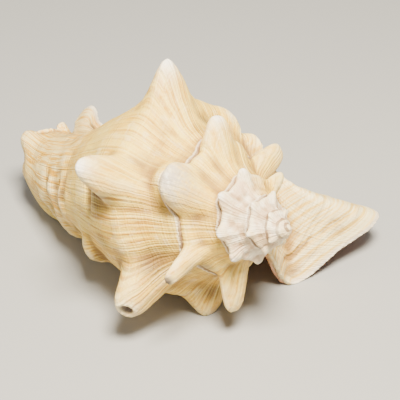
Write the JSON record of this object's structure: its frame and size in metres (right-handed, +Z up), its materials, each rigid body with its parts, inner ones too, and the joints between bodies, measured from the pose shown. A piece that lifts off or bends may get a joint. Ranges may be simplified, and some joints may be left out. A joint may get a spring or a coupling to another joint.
{
  "type": "conch shell",
  "caption": "Large sea snail shell with horned whorls, a low spire and a broad flaring lip, resting with its opening down; a shelf or table ornament.",
  "frame": {"origin": "centre of the bounding box, on the surface the shell rests on", "axes": "+X towards the spire's tip, +Y towards the flaring lip, +Z up; the shell's own axis rises 17.5 degrees towards +X"},
  "size_m": [0.2115, 0.1754, 0.1271],
  "materials": {
    "conch_shell": "dry, chalky outside with a soft sheen"
  },
  "bodies": {
    "root": {"conch_shell": "conch_shell"}
  },
  "joints": []
}
